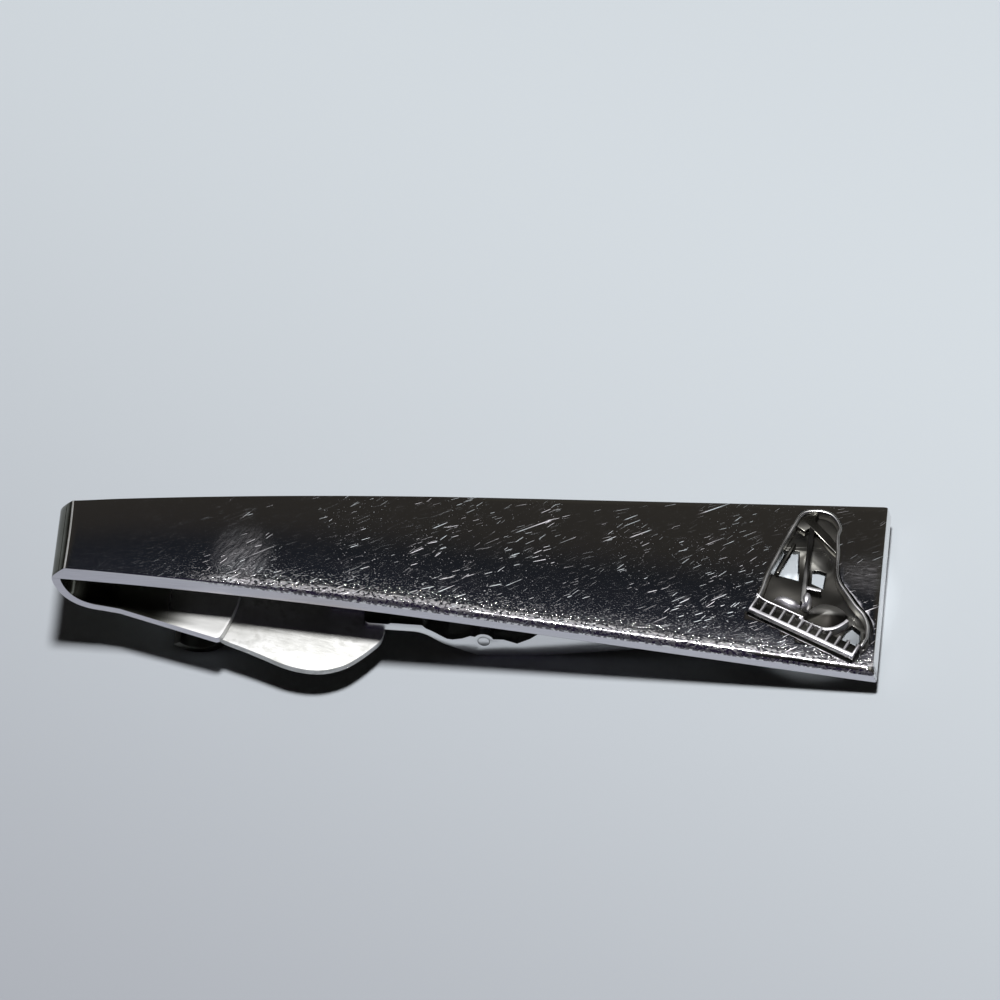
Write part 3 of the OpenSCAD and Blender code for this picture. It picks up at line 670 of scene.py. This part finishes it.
# %% Worn edges, and the press
CORNER_REACH, NEAR_BAND = 0.01, 0.12
ROUND_BACK, ROUND_WIDE_END, ROUND_LEAST, ROUND_MOST = 0.3, 0.2, 0.12, 1.0
WORN_FROM, WORN_OVER = 4, 16
FOLD_SLANT_LEN, END_SLANT, END_SLANT_LEN = 3, 0.3, 2


def at_free_corner(edge):
    a, b = (v.co / MM for v in edge.verts)
    at_corner = all(abs(p.x - PLATE_LEN) < CORNER_REACH and abs(abs(p.y) - WIDE_W / 2) < CORNER_REACH
                    for p in (a, b))
    return at_corner and a.y * b.y > 0


def roundness(edge):
    """How round an outline edge is worn: most along the near side, where the hand slides."""
    if len(edge.link_faces) != 2 or all(v.co.x < (LEFT_END + 0.01) * MM and v.co.z < -MM for v in edge.verts):
        return 0.0
    levels = sorted(abs(face.normal.z) for face in edge.link_faces)
    if levels[0] > 0.1 or levels[1] < 0.9:
        return 0.0
    middle = (edge.verts[0].co + edge.verts[1].co) / 2 / MM
    if middle.z < -0.1:
        return ROUND_BACK
    if middle.x < LEFT_END + 0.2:
        return ROUND_LEAST
    if middle.y < NEAR_BAND - WIDE_W / 2:
        return ROUND_LEAST + (ROUND_MOST - ROUND_LEAST) * min(max(middle.x - WORN_FROM, 0) / WORN_OVER, 1)
    return ROUND_WIDE_END if middle.x > PLATE_LEN - 0.3 else ROUND_LEAST


picked = pick_edges(plate, at_free_corner)
bpy.ops.mesh.bevel(offset=0.14 * MM, segments=4, affect="EDGES", clamp_overlap=False)
shape = bmesh.from_edit_mesh(plate.data)
weights = shape.edges.layers.float.new("bevel_weight_edge")
for edge in shape.edges:
    edge[weights] = roundness(edge)
print("corner edges", picked, "outline edges", sum(edge[weights] > 0 for edge in shape.edges))
bmesh.update_edit_mesh(plate.data)
bpy.ops.object.mode_set(mode="OBJECT")
apply_modifier(plate, "BEVEL", width=0.48 * MM, segments=6, profile=0.38, limit_method="WEIGHT",
               use_clamp_overlap=False)


def pressed(flat):
    along, across, up = flat / MM
    y = across / (WIDE_W / 2) * half_width(along)
    x, z = bowed(along, (up + PLATE_T) / PLATE_T * crown_height(y))
    if along < FOLD_SLANT_LEN:
        end_x = fold_end_at(z)
        start_x = bowed(LEFT_END, (up + PLATE_T) / PLATE_T * crown_height(y))[0]
        x += (end_x - start_x) * (FOLD_SLANT_LEN - along) / (FOLD_SLANT_LEN - LEFT_END)
    past = along - (PLATE_LEN - END_SLANT_LEN)
    if past > 0:
        x -= END_SLANT * up / PLATE_T * past / END_SLANT_LEN
    return on_table(x, y, z)


for vertex in plate.data.vertices:
    vertex.co = pressed(vertex.co)
print("plate", len(plate.data.polygons), "faces")

# %% [markdown]
# The grand piano is set in an opening of the plate. Its outline is a list of shares of the keyboard's length
# and of the piano's length, so the opening, and later the pieces inside it, stay in proportion.

# %% Outline of the piano
KEYS_W = 0.5775 * WIDE_W
KEYS_D = 0.14 * KEYS_W
PIANO_LEN = 1.238 * KEYS_W
PIANO_X, PIANO_Y = PLATE_LEN - 0.638 * WIDE_W, -0.2007 * WIDE_W
PIANO_TURN = math.radians(-23.7)
CASE_OUTLINE = ((1.024, 0.197), (0.976, 0.291), (0.884, 0.367), (0.774, 0.409), (0.652, 0.471),
                (0.561, 0.517), (0.5, 0.571), (0.445, 0.65), (0.402, 0.729), (0.357, 0.793),
                (0.312, 0.862), (0.294, 0.926), (0.207, 0.985), (0.116, 1.0), (0.012, 0.975),
                (-0.068, 0.926), (-0.093, 0.867), (-0.091, 0.788), (-0.088, 0.709), (-0.083, 0.601),
                (-0.07, 0.502), (-0.059, 0.379), (-0.046, 0.305), (-0.024, 0.227), (-0.012, 0.158))


def in_plate(across, back):
    """A point of the piano's plan, in millimetres, as a point of the plate's plan."""
    return (PIANO_X + across * math.cos(PIANO_TURN) - back * math.sin(PIANO_TURN),
            PIANO_Y + across * math.sin(PIANO_TURN) + back * math.cos(PIANO_TURN))


def in_millimetres(shares):
    return [(a * KEYS_W, b * PIANO_LEN) for a, b in shares]


def prism(name, outline, low, high):
    """A straight-sided piece of the ornament, from a ring of vertices that is filled and extruded."""
    deselect_all()
    bpy.ops.mesh.primitive_circle_add(vertices=len(outline), radius=1, fill_type="NGON")
    piece = bpy.context.active_object
    piece.name = name
    for vertex, (across, back) in zip(piece.data.vertices, outline):
        vertex.co = (*in_plate(across, back), low)
    edit_mode(piece)
    bpy.ops.mesh.select_all(action="SELECT")
    bpy.ops.mesh.extrude_region_move(TRANSFORM_OT_translate={"value": (0, 0, high - low)})
    bpy.ops.mesh.select_all(action="SELECT")
    bpy.ops.mesh.normals_make_consistent(inside=False)
    bpy.ops.object.mode_set(mode="OBJECT")
    return piece


def lay_on_table(piece):
    for vertex in piece.data.vertices:
        vertex.co = on_table(*vertex.co)
    piece.data.update()


case_curve = [tuple(p) for p in flowing(in_millimetres(CASE_OUTLINE))]
print("piano", round(KEYS_W, 2), "by", round(PIANO_LEN, 2), "mm")

# %% [markdown]
# The opening is cut with a boolean, once straight through and once as a wider, shallower groove. Its upper
# edge is only just broken, because the photographed one shows no wide line of light. The walls are painted
# black as shade, the front is the mirror, and the back is painted nearly black as shade. At the bent end,
# faces that face up wear the white satin as a painted highlight, and the steeper ones the leaf's painted
# shade.

# %% Opening for the piano
GROOVE, LEDGE = 0.3, 0.35
PIANO_REACH, RIM_ABOVE = 7.4, 1.2
FOLD_FACES_X = -25.4


def with_groove(point):
    """The opening is a little wider than the ornament on its lower right, which leaves a dark groove."""
    across, back = point
    share = min(max(across / KEYS_W - 0.42, 0) / 0.3, 1) * min(max(0.8 - back / PIANO_LEN, 0) / 0.3, 1)
    return (across + GROOVE * share, back)


def opening_outline(groove):
    side = [with_groove(p) if groove else p for p in case_curve if p[1] > KEYS_D]
    return ([(1.024 * KEYS_W + groove, KEYS_D)] + side
            + [(-0.01 * KEYS_W, KEYS_D), (0.0, KEYS_D), (0.0, -groove), (KEYS_W, -groove),
               (KEYS_W + groove, 0.0), (KEYS_W + groove, KEYS_D)])


for groove, bottom in ((0.0, -2.0), (GROOVE, LEDGE)):
    opening = prism("opening_cutter", opening_outline(groove), bottom, 4.0)
    lay_on_table(opening)
    apply_modifier(plate, "BOOLEAN", operation="DIFFERENCE", object=opening, solver="EXACT")
    bpy.data.objects.remove(opening, do_unlink=True)
print("plate with its opening", len(plate.data.polygons), "faces")
piano_middle = on_table(*in_plate(0.4 * KEYS_W, 0.45 * PIANO_LEN), PLATE_T)
plate_up = (on_table(0, 0, 1) - on_table(0, 0, 0)).normalized()


def rim_of_opening(edge):
    if len(edge.link_faces) != 2 or (edge.verts[0].co - piano_middle).length > PIANO_REACH * MM:
        return False
    if any(abs((v.co - on_table(0, 0, 0)).dot(plate_up)) < RIM_ABOVE * MM for v in edge.verts):
        return False
    slopes = sorted(face.normal.dot(plate_up) for face in edge.link_faces)
    return abs(slopes[0]) < 0.3 and slopes[1] > 0.8


def rim_wall(centre):
    """Walls of the opening, which lie well inside the plate's outline."""
    flat = (centre / MM - REST_MOVE).dot(Vector((math.cos(REST_TILT), 0, -math.sin(REST_TILT))))
    return abs(centre.y / MM) < half_width(flat) - 0.15 and flat < PLATE_LEN - 0.15


edit_mode(plate)
print("rim edges", pick_edges(plate, rim_of_opening))
bpy.ops.mesh.bevel(offset=0.02 * MM, segments=2, affect="EDGES", clamp_overlap=False)
bpy.ops.object.mode_set(mode="OBJECT")
smooth_finish(plate, 25.0)
apply_modifier(plate, "WEIGHTED_NORMAL", keep_sharp=True, weight=90)


def plate_paint(face):
    slope = face.normal.dot(plate_up)
    near_piano = (face.center - piano_middle).length < (PIANO_REACH + 0.2) * MM
    # Painted shade: the walls of the opening are painted black.
    if slope < 0.9 and near_piano and rim_wall(face.center):
        return shaded_hollow
    # Painted highlight and shade at the fold: faces that face up get the white satin, steeper ones the dark
    # leaf.
    if face.center.x < FOLD_FACES_X * MM and abs(face.normal.y) < 0.6 and slope < 0.97:
        return satin if slope > 0.8 else shaded_leaf
    # Faces that look down are painted nearly black as shade.
    return mirror if slope > 0.15 else band if slope > -0.3 else shaded_underside


paint_faces(plate, (mirror, band, shaded_underside, shaded_leaf, shaded_hollow, satin), plate_paint)
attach(plate, "clip")
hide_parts("front_plate")

# %% [markdown]
# The narrow end of the plate is thinned to a strip, bent round in a fold, and led back under the plate as
# the spring arm, which fans out to a round tip. It is one leaf, so it is modelled as one: a grid whose
# long side follows the bend, given its thickness by a modifier.

# %% Folded strip and spring arm
ARM_RISE = math.radians(4.08935)
FLEX_X, FLEX_Z = 3.29789, -4.34274
ARM_LEN, ARM_W, ARM_WIDE_X, ARM_TIP_R = 8.95, 11.0, 7.7, 13.0
TIP_CORNER = 0.16
TIP_MIDDLE = FLEX_X + ARM_LEN * math.cos(ARM_RISE) - ARM_TIP_R

strip_line = []
for before, here, after in zip(fold_curve[9:], fold_curve[10:], fold_curve[11:]):
    run = (after - before).normalized()
    strip_line.append((here.x - run.y * STRIP_T / 2, here.y + run.x * STRIP_T / 2))
ARM_STEPS = 30
for k in range(1, ARM_STEPS + 1):
    reach = ARM_LEN * math.sin(k / ARM_STEPS * math.pi / 2)
    strip_line.append((FLEX_X + reach * math.cos(ARM_RISE), FLEX_Z + reach * math.sin(ARM_RISE)))


def strip_half_width(x):
    if x < FLEX_X:
        return half_width(x) - 0.01
    flare = half_width(FLEX_X) + (ARM_W / 2 - half_width(FLEX_X)) * min((x - FLEX_X) / ARM_WIDE_X, 1)
    past = x - TIP_MIDDLE
    tip = math.sqrt(max(ARM_TIP_R ** 2 - past ** 2, 1e-6)) if past > 0 else ARM_TIP_R
    return -TIP_CORNER * math.log(math.exp(-(flare - 0.01) / TIP_CORNER) + math.exp(-tip / TIP_CORNER))


deselect_all()
bpy.ops.mesh.primitive_grid_add(x_subdivisions=len(strip_line) - 1, y_subdivisions=20, size=1)
strip = bpy.context.active_object
strip.name = "folded_strip"
for vertex in strip.data.vertices:
    station = round((vertex.co.x + 0.5) * (len(strip_line) - 1))
    x, z = strip_line[station]
    vertex.co = on_table(x, vertex.co.y * 2 * strip_half_width(x), z)
edit_mode(strip)
bpy.ops.mesh.select_all(action="SELECT")
bpy.ops.mesh.remove_doubles(threshold=0.002 * MM)
bpy.ops.mesh.normals_make_consistent(inside=False)
bpy.ops.object.mode_set(mode="OBJECT")
apply_modifier(strip, "SOLIDIFY", thickness=STRIP_T * MM, offset=0.0)
apply_modifier(strip, "BEVEL", width=0.02 * MM, segments=2, limit_method="ANGLE",
               angle_limit=math.radians(50))
smooth_finish(strip)
paint_faces(strip, (shaded_leaf, band), lambda face: band if abs(face.normal.y) > 0.6 else shaded_leaf)
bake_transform(strip)
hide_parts("spring_arm")
print("strip", len(strip.data.polygons), "faces")

# %% [markdown]
# The lever, the pad and the hinge are pressed sheet and wire, and their solids already have the right shape.
# Each is copied, its loose triangles are merged into whole faces again, and a small bevel breaks every
# sharp edge, as tumbling does to the real pieces. The lever's two sides then flare out a little on their
# way down, and so do the ends of the pin, because the photographed side reflects the pale table.

# %% Sheet pieces with broken edges
def eased_copy(node, width, paint, segments):
    """A copy of a solid with bevelled edges, which stands for it and moves with the same body."""
    source = frame["nodes"][node]
    piece = bpy.data.objects.new(node + "_finished", source.data.copy())
    bpy.context.scene.collection.objects.link(piece)
    piece.data.materials.clear()
    make_active(piece)
    if piece.data.has_custom_normals:
        bpy.ops.mesh.customdata_custom_splitnormals_clear()
    bpy.ops.object.mode_set(mode="EDIT")
    bpy.ops.mesh.select_all(action="SELECT")
    bpy.ops.mesh.remove_doubles(threshold=0.0005 * MM)
    bpy.ops.mesh.dissolve_limited(angle_limit=math.radians(0.5))
    bpy.ops.object.mode_set(mode="OBJECT")
    apply_modifier(piece, "BEVEL", width=width * MM, segments=segments, limit_method="ANGLE",
                   angle_limit=math.radians(35))
    smooth_finish(piece)
    piece.data.materials.append(paint)
    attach(piece, node_body(node))
    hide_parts(node)
    print(piece.name, len(piece.data.polygons), "faces")
    return piece


def node_body(node):
    return next(body for body, nodes in frame["record"]["behaviour"]["bodies"].items() if node in nodes)


SHEET_PIECES = (("jaw_lever", 0.03, flange), ("thumb_pad", 0.08, satin), ("hinge_bracket", 0.05, strip_edge),
                ("hinge_pin", 0.02, flange))
sheets = {node: eased_copy(node, width, paint, 2) for node, width, paint in SHEET_PIECES}

lever = sheets["jaw_lever"]
FLARE, SIDES_FROM = 0.17, 2.4
lever_top = max(vertex.co.z for vertex in lever.data.vertices)
for piece in (lever, sheets["hinge_pin"]):
    for vertex in piece.data.vertices:
        if abs(vertex.co.y) > SIDES_FROM * MM:
            vertex.co.y += math.copysign(FLARE * (lever_top - vertex.co.z), vertex.co.y)
# Painted shade: the lever's faces other than its two sides are painted nearly black.
paint_faces(lever, (flange, shaded_underside), lambda face: flange if abs(face.normal.y) > 0.5 else shaded_underside)

pad = sheets["thumb_pad"]
pad_top = max((face for face in pad.data.polygons if face.normal.z > 0.9), key=lambda face: face.area)
top_middle, top_normal = pad_top.center.copy(), pad_top.normal.copy()
LIP_BELOW = 0.6


# Painted shade: the lip and the back of the pad are painted nearly black.
def pad_paint(face):
    on_lip = (face.center - top_middle).dot(top_normal) < -LIP_BELOW * MM
    return shaded_underside if on_lip or face.normal.dot(top_normal) < -0.5 else satin


paint_faces(pad, (satin, shaded_underside), pad_paint)

# %% [markdown]
# The ornament is cast in relief and polished, so its bars and walls have round tops that carry thin lines
# of light between dark hollows, which are partly tarnished and partly painted black as shade. Its straight
# pieces are eased copies of their solids with a wide bevel.

# %% Castings of the ornament
# The keyboard casting is painted black as shade between the keys.
CAST_PIECES = (("piano_rim", 0.11, bar_metal), ("piano_soundboard", 0.05, soundboard_painted_light_and_shade),
               ("piano_lid", 0.1, tarnish), ("lid_prop", 0.12, prop_metal), ("string_brace", 0.08, tarnish),
               ("case_moulding", 0.06, key_metal), ("keyboard", 0.05, shaded_hollow))
castings = {node: eased_copy(node, width, paint, 3) for node, width, paint in CAST_PIECES}

# %% [markdown]
# A casting is never quite its drawing. The openings of the soundboard, the brace and the prop's crossbar
# are moved a fraction of a millimetre to where the photograph shows them. Each is found by its place in
# the piano's plan, so only its own vertices move.

# %% Openings and crossbar in their places
def plate_place(point):
    """A point on the table as along, across and up of the plate, in millimetres."""
    moved = point / MM - REST_MOVE
    return Vector((moved.x * math.cos(REST_TILT) - moved.z * math.sin(REST_TILT), moved.y,
                   moved.x * math.sin(REST_TILT) + moved.z * math.cos(REST_TILT)))


def plan_shares(point):
    """The same point as shares of the keyboard's length and of the piano's length."""
    place = plate_place(point)
    x, y = place.x - PIANO_X, place.y - PIANO_Y
    return ((x * math.cos(PIANO_TURN) + y * math.sin(PIANO_TURN)) / KEYS_W,
            (y * math.cos(PIANO_TURN) - x * math.sin(PIANO_TURN)) / PIANO_LEN)


def move_part(piece, part, move, wider=0.0, middle=Vector()):
    """Moves the vertices whose plan shares lie in a box: from and to across, then from and to back."""
    across_from, across_to, back_from, back_to = part
    moved = 0
    for vertex in piece.data.vertices:
        across, back = plan_shares(vertex.co)
        if across_from < across < across_to and back_from < back < back_to:
            vertex.co += (vertex.co - middle) * wider + Vector(move) * MM
            moved += 1
    print(piece.name, moved, "vertices moved")


soundboard, prop = castings["piano_soundboard"], castings["lid_prop"]
cheek_middle = on_table(*in_plate(0.88 * KEYS_W, 0.18 * PIANO_LEN), 0.55)
WINDOWS = (((-0.05, 0.02, 0.3, 0.66), (-0.4, 0.55, 0)), ((0.02, 0.3, 0.3, 0.66), (-0.1, 0.55, 0)),
           ((0.31, 0.45, 0.47, 0.58), (0, 0.35, 0)))
for window, move in WINDOWS:
    move_part(soundboard, window, move)
move_part(soundboard, (0.79, 0.98, 0.11, 0.28), (0.05, 0.2, 0), wider=0.2, middle=cheek_middle)
move_part(castings["string_brace"], (-0.055, 0.3, 0.3, 0.66), (0.24, 0.55, 0))
move_part(prop, (0.285, 0.45, 0.36, 0.45), (-0.01, -0.35, 0))
# Painted shade: the prop's faces that turn away from the top are painted black.
paint_faces(prop, (prop_metal, shaded_hollow),
            lambda face: shaded_hollow if face.normal.dot(plate_up) < 0.4 else prop_metal)

# %% [markdown]
# The boss, the desk and the prop's foot are rounded all over, so they are domes: a flat outline is
# extruded in rings that shrink as they rise. A boss with its peak off the middle leans like the real one.

# %% Domes
DOME_RINGS, DOME_FULLNESS, DOME_FOOT = 9, 0.8, 0.2


def dome(name, shares, low, high, node, paint, peak=None, slope=None):
    """A dome over an outline in plan shares. With a peak and a slope it leans and is steeper at its foot."""
    outline = [tuple(p) for p in flowing(in_millimetres(shares), steps=4, closed=True)]
    middle = sum((Vector(p) for p in outline), Vector((0, 0))) / len(outline)
    if peak:
        middle = Vector(in_millimetres([peak])[0])
    deselect_all()
    bpy.ops.mesh.primitive_circle_add(vertices=len(outline), radius=1, fill_type="NGON")
    piece = bpy.context.active_object
    piece.name = name
    for vertex, point in zip(piece.data.vertices, outline):
        vertex.co = (*in_plate(*point), low)
    centre = Vector((*in_plate(*middle), 0))
    edit_mode(piece)
    bpy.ops.mesh.select_mode(type="FACE")
    bpy.ops.mesh.select_all(action="SELECT")
    size, level = 1.0, low
    for k in range(1, DOME_RINGS + 1):
        turned = k / (DOME_RINGS + 1) * math.pi / 2
        next_size, next_level = math.cos(turned) ** DOME_FULLNESS, low + (high - low) * math.sin(turned)
        if slope:
            next_size = 1 - k / (DOME_RINGS + 1)
            next_level = low + DOME_FOOT + (high - low - DOME_FOOT) * (1 - next_size ** slope)
        bpy.ops.mesh.extrude_region_move(TRANSFORM_OT_translate={"value": (0, 0, next_level - level)})
        bpy.ops.transform.resize(value=(next_size / size, next_size / size, 1), center_override=centre)
        size, level = next_size, next_level
    bpy.ops.mesh.poke()
    bpy.ops.mesh.select_all(action="SELECT")
    bpy.ops.mesh.normals_make_consistent(inside=False)
    bpy.ops.object.mode_set(mode="OBJECT")
    lay_on_table(piece)
    smooth_finish(piece, 60)
    piece.data.materials.append(paint)
    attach(piece, "clip")
    if node != "lid_prop":  # the prop has its casting, and the foot is only added to it
        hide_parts(node)
    return piece


FRONT_SHARES = ((0.43, 0.125), (0.5, 0.119), (0.62, 0.127), (0.69, 0.155), (0.735, 0.202), (0.765, 0.262),
                (0.74, 0.335), (0.62, 0.36), (0.5, 0.33), (0.425, 0.25))
DESK_SHARES = ((0.12, 0.185), (0.16, 0.245), (0.33, 0.25), (0.35, 0.2), (0.27, 0.165))
boss = dome("case_front_boss", FRONT_SHARES, 0.74, 1.4, "case_front", boss_painted_light,
            peak=(0.6, 0.275), slope=1.7)
desk = dome("music_desk_dome", DESK_SHARES, 0.74, 1.5, "music_desk", key_metal)
FOOT_SHARES = [(0.376 + 0.05 * math.cos(t * math.pi / 5) + 0.022 * math.sin(t * math.pi / 5),
                0.28 - 0.066 * math.sin(t * math.pi / 5)) for t in range(10)]
foot = dome("lid_prop_foot", FOOT_SHARES, 0.9, 1.75, "lid_prop", key_metal)
print("domes", [len(piece.data.polygons) for piece in (boss, desk, foot)], "faces")

# %% [markdown]
# The keys are thin raised edges that stand on a front rail like the teeth of a comb, and a thin board closes
# them at the back. Both are drawn as outlines in the piano's plan and extruded, because their straight,
# narrow walls are easiest to keep even that way. A fine bevel then gives each its line of light.

# %% Keys and fallboard
KEY_COUNT, KEY_EDGE, RAIL_DEEP = 12, 0.15, 0.25
KEY_TOP = 1.16 * PLATE_T


def cast_outline(name, outline, low, high, width, paint):
    """A thin casting of the piano's plan. It is bevelled in millimetres, before it is laid on the table."""
    piece = prism(name, outline, low, high)
    apply_modifier(piece, "BEVEL", width=width, segments=2, limit_method="ANGLE",
                   angle_limit=math.radians(40))
    lay_on_table(piece)
    smooth_finish(piece)
    piece.data.materials.append(paint)
    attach(piece, "clip")
    return piece


comb_outline = [(0.0, 0.0), (KEYS_W, 0.0)]
pitch = (KEYS_W - KEY_EDGE) / (KEY_COUNT - 1)
for k in reversed(range(KEY_COUNT)):
    left = k * pitch
    comb_outline += [(left + KEY_EDGE, RAIL_DEEP)] if k < KEY_COUNT - 1 else []
    comb_outline += [(left + KEY_EDGE, KEYS_D - 0.02), (left, KEYS_D - 0.02)]
    comb_outline += [(left, RAIL_DEEP)] if k > 0 else []
keys = cast_outline("piano_keys_comb", comb_outline, 0.85 * PLATE_T, KEY_TOP, 0.035, key_metal)
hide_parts("piano_keys")

FALLBOARD_LINE = ((-0.019, 0.15), (0.04, 0.131), (0.11, 0.126), (0.229, 0.129), (0.35, 0.13), (0.44, 0.131))
FALLBOARD_W = 0.09
line = flowing(in_millimetres(FALLBOARD_LINE), steps=3)
near_edge = [(p.x, p.y - FALLBOARD_W / 2) for p in line]
far_edge = [(p.x, p.y + FALLBOARD_W / 2) for p in reversed(line)]
fallboard = cast_outline("fallboard", near_edge + far_edge, 1.2, 1.6, 0.025, key_metal)
print("keys", len(keys.data.polygons), "fallboard", len(fallboard.data.polygons), "faces")

# %% [markdown]
# Last, the scene is left in object mode with nothing selected.

# %% Finish
deselect_all()
